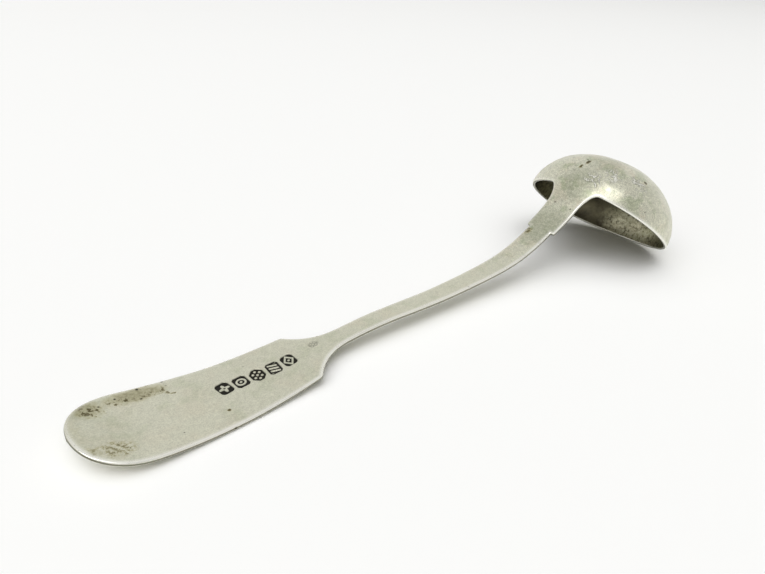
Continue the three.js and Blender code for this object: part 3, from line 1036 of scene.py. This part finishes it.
stain, read, give = new_group(
    "stain",
    {"Vector": "Vector", "Place": "Vector", "Reach": "Vector", "Ragged": "Float", "Broken": "Float"},
    {"Mask": "Float"},
)
place = read["Vector"]
pull = noise_node(stain, place, PULL_SCALE, 6.0, 0.7)["Color"]
wobble = vector_node(stain, "MULTIPLY", vector_node(stain, "SUBTRACT", pull, (0.5, 0.5, 0.5)), read["Ragged"])
away = vector_node(stain, "ADD", vector_node(stain, "SUBTRACT", place, read["Place"]), wobble)
away = vector_node(stain, "DIVIDE", away, read["Reach"])
near = ranged(stain, vector_node(stain, "LENGTH", away), 1.0, 0.35)
holes = ranged(stain, noise(stain, place, HOLE_SCALE, 3.0, 0.7), 0.38, 0.6)
kept = math_node(stain, "SUBTRACT", 1.0, product(stain, holes, read["Broken"]))
finish_group(stain, give, {"Mask": product(stain, near, kept)})

# %% [markdown]
# ### Pits
#
# Tiny pits come from hard dirt and from the casting of the metal. They could be real dents in the mesh,
# but hundreds of them would cost too many faces. A Voronoi texture has one point in each cell, and a
# pit is the ground close to that point, in the few cells whose random colour is bright enough.

# %% Pits group
pits, read, give = new_group(
    "pits",
    {"Vector": "Vector", "Spacing": "Float", "Rarity": "Float", "Size": "Float"},
    {"Mask": "Float"},
)
cells = pits.nodes.new("ShaderNodeTexVoronoi")
pits.links.new(read["Vector"], cells.inputs["Vector"])
pits.links.new(read["Spacing"], cells.inputs["Scale"])
chosen = pits.nodes.new("ShaderNodeSeparateColor")
pits.links.new(cells.outputs["Color"], chosen.inputs["Color"])
allowed = math_node(pits, "GREATER_THAN", chosen.outputs["Red"], read["Rarity"])
reach = product(pits, chosen.outputs["Green"], read["Size"])
closeness = math_node(pits, "SUBTRACT", 1.0, math_node(pits, "DIVIDE", cells.outputs["Distance"], reach))
finish_group(pits, give, {"Mask": product(pits, allowed, ranged(pits, closeness, 0.0, 0.6))})

# %% [markdown]
# ### Scars
#
# Where the bowl was knocked and pressed out again, its skin has short, worm-like scars. Curves drawn one
# by one would do, but the lines on which a slow noise passes through its middle value wander just like
# that. Only a thin band around those lines is kept, with a narrow line in the middle and a wider flank on
# either side, which the material gives a painted highlight and painted shade.

# %% Scars group
WINDING_SCALE = 620

scars, read, give = new_group("scars", {"Vector": "Vector"}, {"Line": "Float", "Flank": "Float"})
winding = noise(scars, read["Vector"], WINDING_SCALE, 3.0, 0.45)
from_line = math_node(scars, "ABSOLUTE", math_node(scars, "SUBTRACT", winding, 0.5))
finish_group(scars, give, {
    "Line": ranged(scars, from_line, 0.01, 0.035, 1.0, 0.0),
    "Flank": ranged(scars, from_line, 0.03, 0.1, 1.0, 0.0),
})

# %% [markdown]
# ### Edges: polish, painted highlight and painted shade
#
# Every arris is painted bright, partly for the polish that hands and cloths leave and partly as a painted
# highlight, and the middle of a thin edge gets a line of painted shade. The points of each edge carry a
# number that runs from 0 at the back to 1 at the front, and on below 0 over the back. So both are a
# matter of the distance from the edge's middle line, and the bright band fades out over the last 0.7 mm
# of the back.

# %% Edge group
MIDDLE_LINE = 0.52

edge_polish_and_shade, read, give = new_group("edge_polish_and_shade", {"Across": "Float"}, {"Arris": "Float", "ShadeLine": "Float"})
from_middle = math_node(edge_polish_and_shade, "SUBTRACT", read["Across"], MIDDLE_LINE)
from_middle = math_node(edge_polish_and_shade, "ABSOLUTE", from_middle)
begins = ranged(edge_polish_and_shade, from_middle, 0.09, 0.18)
stops = ranged(edge_polish_and_shade, from_middle, 0.44, 0.66, 1.0, 0.0)
finish_group(edge_polish_and_shade, give, {
    "Arris": product(edge_polish_and_shade, begins, stops),
    # Painted shade line along the middle of the edge
    "ShadeLine": ranged(edge_polish_and_shade, from_middle, 0.05, 0.14, 1.0, 0.0),
})

# %% [markdown]
# ### Stains, scars and the dark inside
#
# Three of the finishes lie only on some of the pieces, and each has its own function. A stain is straw
# yellow at its rim, olive inside and specked with black. A scar has some relief, with a painted highlight
# along its line and painted shade on its flanks. The inside of the bowl is nearly black, partly with
# tarnish and partly with painted shade, and a few lighter places are painted reflection. Places come as
# lists, so that one function serves any number.

# %% Tarnish and scars
# Painted highlight for arrises and scar lines, partly the polish of wear
POLISH_AND_HIGHLIGHT = colour(246, 245, 236)
# Straw tarnish of the stains, and the colour of the painted sheen inside the bowl
STRAW_TARNISH_AND_SHEEN = colour(172, 165, 122)
OLIVE_TARNISH = colour(84, 76, 46)
# Tarnish inside the bowl, darkened further as painted shade
INSIDE_TARNISH_AND_SHADE = colour(100, 95, 74)
DEEP_TARNISH_AND_SHADE = colour(60, 56, 44)
CLOUD_SCALE, PATCH_SCALE = 170, 1150
# Real dirt in pits, and painted shade on the edges' middle lines and the scars' flanks
DIRT_AND_SHADE = colour(58, 54, 42)


def stored(tree, name):
    """The number that the mesh stores under a name on each point."""
    node = tree.nodes.new("ShaderNodeAttribute")
    node.attribute_name = name
    return node.outputs["Fac"]


def stain_masks(tree, place, spots):
    """One mask for a list of spots, whose places and reaches are in millimetres."""
    masks = []
    for spot in spots:
        at, reach = ([v * MM for v in spot[key]] for key in ("at", "reach"))
        ragged, broken = spot.get("ragged", 4.0) * MM, spot.get("broken", 0.8)
        mask = place_group(tree, stain, Vector=place, Place=at, Reach=reach, Ragged=ragged, Broken=broken)
        masks.append(product(tree, mask["Mask"], spot["strength"]))
    return strongest(tree, *masks)


def stained(tree, place, tint, soiled, spots):
    """A tint with stains over it, and the black dirt with their specks added."""
    cover = stain_masks(tree, place, spots)
    tint = mixed(tree, ranged(tree, cover, 0.0, 0.45, 0.0, 0.6), tint, STRAW_TARNISH_AND_SHEEN)
    tint = mixed(tree, ranged(tree, cover, 0.25, 0.8, 0.0, 0.95), tint, OLIVE_TARNISH)
    specks = place_group(tree, pits, Vector=place, Spacing=1000, Rarity=0.62, Size=0.42)["Mask"]
    specks = product(tree, specks, ranged(tree, cover, 0.05, 0.35, 0.0, 0.9))
    return tint, strongest(tree, soiled, specks)


def with_scars(tree, place, tint, depth, spots):
    """A relief with scars, and a tint with their painted highlight and painted shade."""
    where = stain_masks(tree, place, spots)
    scar = place_group(tree, scars, Vector=place)
    line, flank = (product(tree, scar[part], where) for part in ("Line", "Flank"))
    # Painted shade on the scars' flanks and a painted highlight on their lines
    tint = laid_over(tree, tint, DIRT_AND_SHADE, flank, 0.5)
    tint = laid_over(tree, tint, POLISH_AND_HIGHLIGHT, line, 0.95)
    return tint, plus(tree, plus(tree, depth, flank, -0.08), line, 0.05)


def with_tarnished_shaded_inside(tree, place, tint, sheen_spots):
    """A tint turning cloudy and dark inside the bowl: tarnish and painted shade, with painted sheen spots."""
    cloudy = ranged(tree, noise(tree, place, CLOUD_SCALE, 6.0, 0.65), 0.35, 0.65)
    darkness = mixed(tree, cloudy, DEEP_TARNISH_AND_SHADE, INSIDE_TARNISH_AND_SHADE)
    patches = ranged(tree, noise(tree, place, PATCH_SCALE, 6.0, 0.75), 0.34, 0.56)
    # Lighter patches inside the bowl are painted reflection
    sheen = product(tree, stain_masks(tree, place, sheen_spots), patches)
    tarnish = mixed(tree, sheen, darkness, STRAW_TARNISH_AND_SHEEN)
    return laid_over(tree, tint, tarnish, plus(tree, 0.97, sheen, -0.6), stored(tree, "inside"))


print("tarnish from", [round(v, 3) for v in STRAW_TARNISH_AND_SHEEN[:3]], "to", [round(v, 3) for v in DEEP_TARNISH_AND_SHADE[:3]])

# %% [markdown]
# ### One recipe for all silver
#
# The recipe puts the groups together. Tints give the colour, stains, pits and dirt darken it, painted
# shade darkens the middle of each edge, and a painted highlight brightens the arrises. The satin, the
# scars and the pits make the fine relief, and the numbers stored on the points tell where marks are
# blackened, where the inside of the bowl lies and where the edges are. The stem is rubbed smooth by the
# hand, the neck and the near half of the bowl are the roughest, and the top of the bowl is smoother
# again. The painted highlight on the arrises is brightest on the near side, which faces the softboxes.
# Each piece could have its own material from scratch, but with one recipe wear follows the same places
# in every piece, so the solder joint shows no step.

# %% Silver recipe
ROSE_SILVER = colour(207, 199, 178)
GREEN_SILVER = colour(178, 184, 156)
# Partly green tarnish, partly painted shade
GREEN_TARNISH_AND_SHADE = colour(140, 146, 120)
OXIDE = colour(20, 18, 15)
WEAR_FROM, WEAR_TO = 12 * MM, 36 * MM
RUBBED_FROM, RUBBED_TO = 52 * MM, 66 * MM
# The arrises' painted highlight is strongest at the near side and weakest at the far side
HIGHLIGHT_NEAR, HIGHLIGHT_FAR = -4 * MM, 4 * MM


def old_silver(name, stains=(), green_tarnish_and_shade=(), scarred=(), painted_sheen_inside=()):
    """Worn silver with its wear, stains, green tarnish and painted shade, scars and painted sheen inside."""
    material = bpy.data.materials.new(name)
    material.use_nodes = True
    tree = material.node_tree
    shader = tree.nodes["Principled BSDF"].inputs
    shader["Metallic"].default_value = 1
    place = tree.nodes.new("ShaderNodeTexCoord").outputs["Object"]
    split = tree.nodes.new("ShaderNodeSeparateXYZ")
    tree.links.new(place, split.inputs["Vector"])
    wear = ranged(tree, split.outputs["X"], WEAR_FROM, WEAR_TO)
    wear = product(tree, wear, ranged(tree, split.outputs["X"], RUBBED_FROM, RUBBED_TO, 1.0, 0.45))

    tints = {"Silver": SILVER, "Rose": ROSE_SILVER, "Green": GREEN_SILVER}
    tinge, grain = plus(tree, 0.3, wear, 0.4), plus(tree, 0.2, wear, 0.26)
    tint = place_group(tree, mottle, Vector=place, Tinge=tinge, Grain=grain, **tints)["Color"]
    # Broad green patches: partly tarnish, partly painted shade
    if green_tarnish_and_shade:
        tint = mixed(tree, stain_masks(tree, place, green_tarnish_and_shade), tint, GREEN_TARNISH_AND_SHADE)
    rarity = plus(tree, 0.9, wear, -0.22)
    dirt = place_group(tree, pits, Vector=place, Spacing=420, Rarity=rarity, Size=0.2)["Mask"]
    tint = laid_over(tree, tint, DIRT_AND_SHADE, dirt, 0.7)
    depth = product(tree, dirt, -0.05)
    soiled = stored(tree, "ground")
    if stains:
        tint, soiled = stained(tree, place, tint, soiled, stains)
    if scarred:
        tint, depth = with_scars(tree, place, tint, depth, scarred)
    if painted_sheen_inside:
        tint = with_tarnished_shaded_inside(tree, place, tint, painted_sheen_inside)

    edge = place_group(tree, edge_polish_and_shade, Across=stored(tree, "edge"))
    # Painted shade: a dark line along the middle of each edge
    tint = laid_over(tree, tint, DIRT_AND_SHADE, edge["ShadeLine"], 0.75)
    # Painted highlight on the arrises, brightest on the near side
    near_side_highlight = ranged(tree, split.outputs["Y"], HIGHLIGHT_NEAR, HIGHLIGHT_FAR, 0.9, 0.3)
    tint = laid_over(tree, tint, POLISH_AND_HIGHLIGHT, edge["Arris"], near_side_highlight)
    tree.links.new(laid_over(tree, tint, OXIDE, soiled, 0.97), shader["Base Color"])

    fine = place_group(tree, satin, Vector=place)
    gloss = plus(tree, ranged(tree, fine["Polish"], 0.0, 1.0, 0.4, 0.3), edge["Arris"], -0.08)
    tree.links.new(plus(tree, gloss, soiled, 0.25), shader["Roughness"])
    depth = plus(tree, plus(tree, depth, fine["Height"], 0.035), fine["Scratch"], -0.012)
    bump = tree.nodes.new("ShaderNodeBump")
    bump.inputs["Strength"].default_value = 1
    bump.inputs["Distance"].default_value = MM
    tree.links.new(depth, bump.inputs["Height"])
    tree.links.new(bump.outputs["Normal"], shader["Normal"])
    print("material", name, "with", len(tree.nodes), "nodes")
    return material


# %% [markdown]
# ### Where the stains and scars lie
#
# Tarnish gathers where fingers and cloths seldom press: a band along the far edge of the wide end, two
# patches near its tip, and a spot by the far ear. Broad, faint patches of green over the tip, the neck
# and the bowl are partly tarnish and partly painted shade. The bowl has three dark spots, and three
# scarred places on its near side, and its inside is dark all over, partly tarnish and partly painted
# shade, but for three mottled places of painted reflection. Places and reaches are in millimetres in the
# object.

# %% Stains, and green tarnish with painted shade
HANDLE_STAINS = [
    {"at": (-77.7, 5.8, 3.3), "reach": (3.2, 2.4, 3), "strength": 0.85, "ragged": 5.0, "broken": 0.8},
    {"at": (-78.2, 6.4, 3.4), "reach": (4.2, 3.4, 4), "strength": 0.5, "broken": 0.3},
    {"at": (-70.0, 7.4, 2.0), "reach": (8.0, 3.0, 4), "strength": 0.5, "ragged": 3.0, "broken": 0.25},
    {"at": (-72.6, 6.6, 2.3), "reach": (4.4, 1.3, 3), "strength": 0.8, "ragged": 3.0, "broken": 0.8},
    {"at": (-67.6, 6.5, 1.7), "reach": (4.0, 1.1, 3), "strength": 0.65, "ragged": 3.0, "broken": 0.8},
    {"at": (-65.2, 7.0, 1.4), "reach": (0.4, 1.1, 2), "strength": 0.75, "ragged": 1.6, "broken": 0.3},
    {"at": (-64.8, 5.6, 1.4), "reach": (0.5, 0.8, 2), "strength": 0.75, "ragged": 1.6, "broken": 0.3},
    {"at": (-64.0, 4.9, 1.4), "reach": (0.9, 0.4, 2), "strength": 0.7, "ragged": 1.6, "broken": 0.4},
    {"at": (-77.0, -5.2, 3.2), "reach": (4.0, 2.8, 3), "strength": 0.6, "broken": 0.85},
    {"at": (-80.6, -4.6, 4.1), "reach": (1.6, 2.2, 3), "strength": 0.5, "broken": 0.8},
    {"at": (-82.2, 1.5, 4.8), "reach": (2.8, 7.0, 3), "strength": 0.22, "broken": 0.5},
    {"at": (-57.9, -4.8, 1.1), "reach": (0.55, 0.45, 1), "strength": 0.75, "ragged": 0.8, "broken": 0.1},
    {"at": (-58.9, -9.0, 0.5), "reach": (0.45, 0.4, 1), "strength": 0.8, "ragged": 0.8, "broken": 0.1},
    {"at": (33.3, 2.6, 11.7), "reach": (1.7, 1.4, 1.7), "strength": 0.8, "ragged": 3.0, "broken": 0.5},
]
BOWL_STAINS = [
    {"at": (53.5, 1.1, 27.8), "reach": (1.5, 0.7, 1.5), "strength": 0.9, "ragged": 2.0, "broken": 0.1},
    {"at": (51.3, 1.9, 26.7), "reach": (1.0, 0.6, 1.5), "strength": 0.8, "ragged": 1.5, "broken": 0.1},
    {"at": (59.8, -12.7, 25.2), "reach": (0.7, 0.7, 1), "strength": 0.9, "ragged": 0.8, "broken": 0.0},
]
# Broad green patches, partly tarnish and partly painted shade
GREEN_TARNISH_AND_SHADE_SPOTS = [
    {"at": (-80.3, 7.2, 4.0), "reach": (6.0, 5.0, 5), "strength": 0.5, "broken": 0.3},
    {"at": (-79.0, -1.5, 4.0), "reach": (10.0, 11.0, 5), "strength": 0.2, "broken": 0.4},
    {"at": (36.0, 0.0, 13.0), "reach": (9.0, 9.0, 9), "strength": 0.6, "broken": 0.4},
    {"at": (47.5, -1.0, 23.0), "reach": (7.5, 7.0, 7), "strength": 0.55, "broken": 0.5},
    {"at": (56.5, -2.5, 28.5), "reach": (7.0, 6.0, 5), "strength": 0.4, "broken": 0.6},
    {"at": (60.0, -14.5, 23.0), "reach": (5.0, 3.0, 5), "strength": 0.25, "broken": 0.6},
]
print(len(HANDLE_STAINS) + len(BOWL_STAINS), "stains and", len(GREEN_TARNISH_AND_SHADE_SPOTS), "green_tarnish_and_shade")

# %% Scarred places, painted reflections inside, and the materials
SCARRED = [
    {"at": (49.3, -3.8, 24.9), "reach": (3.4, 3.6, 4), "strength": 1.0, "ragged": 1.5, "broken": 0.0},
    {"at": (53.0, -7.0, 26.5), "reach": (3.6, 3.2, 4), "strength": 0.9, "ragged": 1.5, "broken": 0.0},
    {"at": (57.0, -12.4, 25.2), "reach": (3.2, 3.6, 4), "strength": 0.9, "ragged": 1.5, "broken": 0.0},
]
# Lighter places inside the bowl, painted reflection
PAINTED_SHEEN_INSIDE = [
    {"at": (79.5, -5.0, 5.0), "reach": (10.0, 14.5, 10.0), "strength": 1.0, "broken": 0.3},
    {"at": (75.5, -15.0, 4.5), "reach": (6.0, 6.0, 6.0), "strength": 0.7, "broken": 0.4},
    {"at": (63.5, 19.6, 12.5), "reach": (8.0, 8.0, 8.0), "strength": 0.7, "broken": 0.4},
]
handle.data.materials.append(old_silver("worn_silver_handle", HANDLE_STAINS, GREEN_TARNISH_AND_SHADE_SPOTS))
bowl.data.materials.append(old_silver("worn_silver_bowl", BOWL_STAINS, GREEN_TARNISH_AND_SHADE_SPOTS, SCARRED, PAINTED_SHEEN_INSIDE))
solder.data.materials.append(old_silver("worn_silver_solder", green_tarnish_and_shade=GREEN_TARNISH_AND_SHADE_SPOTS))

# %% [markdown]
# ## Table
#
# The ladle lies on white paper. A sheet that bends up behind it would do, but the silver mirrors what
# lies round it on every side. So the paper runs out to the horizon, and the silver mirrors white from
# below wherever it is seen from.

# %% Table
FLOOR_RADIUS = 8.0
PAPER = 0.99


def add_floor():
    """A flat disc at height 0, which belongs to the stage and not to the ladle."""
    bm = bmesh.new()
    bmesh.ops.create_circle(bm, cap_ends=True, radius=FLOOR_RADIUS, segments=128)
    mesh = bpy.data.meshes.new("white_table")
    bm.to_mesh(mesh)
    bm.free()
    floor = bpy.data.objects.new("white_table", mesh)
    bpy.context.scene.collection.objects.link(floor)
    return floor


floor = add_floor()
paper = bpy.data.materials.new("white_paper")
paper.use_nodes = True
sheet = paper.node_tree.nodes["Principled BSDF"].inputs
sheet["Base Color"].default_value = (PAPER, PAPER, PAPER, 1)
sheet["Roughness"].default_value = 1
sheet["Specular IOR Level"].default_value = 0
floor.data.materials.append(paper)
print("table:", 2 * FLOOR_RADIUS, "metres across")

# %% [markdown]
# ## Light
#
# Camera and mirror rays see the room as a soft white that is brighter low down behind the ladle and
# darker overhead. The light that falls on the paper comes mostly from one side, high behind the viewer,
# like a window's. Near the horizon it is dim and cream, like walls, which keeps the shadow under the
# bowl close, dark and a little olive, as in the photograph. A picture of a real room could light the
# scene too, but here each part of the light can be set by itself. Two large softboxes, 4 metres away
# behind the viewer, add to it and make the broad gleams on the bowl and the edges.

# %% Directions in the room
GLOW_AZIMUTH = 45
GLOW_STARTS, WINDOW_STARTS = -0.8, 0.32
WINDOW_AZIMUTH, WINDOW_ELEVATION = -156, 58


def pointing(azimuth, elevation):
    """The unit vector towards a place in the room, whose angles are in degrees."""
    around, up = math.radians(azimuth), math.radians(elevation)
    return Vector((math.cos(up) * math.cos(around), math.cos(up) * math.sin(around), math.sin(up)))


world = bpy.context.scene.world or bpy.data.worlds.new("room")
bpy.context.scene.world = world
world.use_nodes = True
room = world.node_tree
room.nodes.clear()
direction = room.nodes.new("ShaderNodeTexCoord").outputs["Generated"]
split = room.nodes.new("ShaderNodeSeparateXYZ")
room.links.new(direction, split.inputs["Vector"])


def facing(azimuth, elevation, starts, low, high):
    """A value that grows from low to high as a ray turns towards one side of the room."""
    turned_to = vector_node(room, "DOT_PRODUCT", direction, pointing(azimuth, elevation))
    return ranged(room, turned_to, starts, 1.0, low, high)


print("the window is towards", [round(v, 2) for v in pointing(WINDOW_AZIMUTH, WINDOW_ELEVATION)])

# %% Room
ROOM_BRIGHT, ROOM_DIM = 0.92, 0.7
OVERHEAD_LOSS = 0.1
LIGHT_FAR, LIGHT_NEAR = 0.02, 1.77
HORIZON_LIGHT = 0.37
WALLS_END, CEILING_STARTS = 0.2, 0.8
CREAM, WHITE = (1.0, 0.99, 0.66, 1), (1, 1, 1, 1)

overhead = ranged(room, split.outputs["Z"], WALLS_END, 1.0, 0.0, OVERHEAD_LOSS)
glow = facing(GLOW_AZIMUTH, 0, GLOW_STARTS, ROOM_DIM, ROOM_BRIGHT)
seen = math_node(room, "SUBTRACT", glow, overhead)
lighting = facing(WINDOW_AZIMUTH, WINDOW_ELEVATION, WINDOW_STARTS, LIGHT_FAR, LIGHT_NEAR)
low = ranged(room, split.outputs["Z"], WALLS_END, CEILING_STARTS, HORIZON_LIGHT, 1.0)
ray = room.nodes.new("ShaderNodeLightPath").outputs
mirrored = strongest(room, ray["Is Camera Ray"], ray["Is Glossy Ray"], ray["Is Transmission Ray"])
strength = room.nodes.new("ShaderNodeMix")
room.links.new(mirrored, strength.inputs["Factor"])
room.links.new(product(room, lighting, low), strength.inputs["A"])
room.links.new(seen, strength.inputs["B"])
background = room.nodes.new("ShaderNodeBackground")
whiteness = strongest(room, low, mirrored)
room.links.new(mixed(room, whiteness, CREAM, WHITE), background.inputs["Color"])
room.links.new(strength.outputs["Result"], background.inputs["Strength"])
room.links.new(background.outputs["Background"], room.nodes.new("ShaderNodeOutputWorld").inputs["Surface"])
print("room:", len(room.nodes), "nodes")

# %% Softboxes
SOFTBOXES = {"key": (-140, 66), "fill": (-175, 38)}
SOFTBOX_DISTANCE, SOFTBOX_SIZE = 4.0, 2.0
SOFTBOX_RADIANCE = 2.0


def add_softbox(name, azimuth, elevation):
    """A square lamp that faces the ladle. Radiance is how bright its face looks: 1 is white."""
    lamp = bpy.data.lights.new(name, "AREA")
    lamp.shape = "SQUARE"
    lamp.size = SOFTBOX_SIZE
    lamp.energy = SOFTBOX_RADIANCE * math.pi * SOFTBOX_SIZE**2
    box = bpy.data.objects.new(name, lamp)
    bpy.context.scene.collection.objects.link(box)
    box.location = SOFTBOX_DISTANCE * pointing(azimuth, elevation)
    box.rotation_euler = (-box.location).to_track_quat("-Z", "Y").to_euler()
    print("softbox", name, "with", round(lamp.energy, 1), "watts")


for name, (azimuth, elevation) in SOFTBOXES.items():
    add_softbox(name, azimuth, elevation)

# %% [markdown]
# ## Camera
#
# The photograph was taken with a wide lens from close by, so the near end of the handle looms large.
# The camera's place and turn were solved from the outline of the ladle. A camera could be set by
# dragging it until the picture fits, but numbers keep it there.

# %% Camera
LENS = 27.75
SENSOR_WIDTH = 36
CLIP_START, CLIP_END = 0.005, 20
CAMERA_AT = Vector((-92.451, -80.76, 72.59)) * MM
YAW, PITCH, ROLL = 0.83606, 0.50791, 0.077248

ahead = Vector((math.cos(YAW) * math.cos(PITCH), math.sin(YAW) * math.cos(PITCH), -math.sin(PITCH)))
right = ahead.cross(Vector((0, 0, 1))).normalized()
above = right.cross(ahead)
rolled_right = math.cos(ROLL) * right + math.sin(ROLL) * above
rolled_above = -math.sin(ROLL) * right + math.cos(ROLL) * above
camera = bpy.data.objects.new("camera", bpy.data.cameras.new("camera"))
camera.data.lens = LENS
camera.data.sensor_width = SENSOR_WIDTH
camera.data.clip_start = CLIP_START
camera.data.clip_end = CLIP_END
turned = Matrix((rolled_right, rolled_above, -ahead)).transposed()
camera.matrix_world = Matrix.Translation(CAMERA_AT) @ turned.to_4x4()
bpy.context.scene.collection.objects.link(camera)
bpy.context.scene.camera = camera
bpy.context.scene.view_settings.view_transform = "Standard"
print("camera", round(CAMERA_AT.length / MM), "mm from the middle of the ladle")
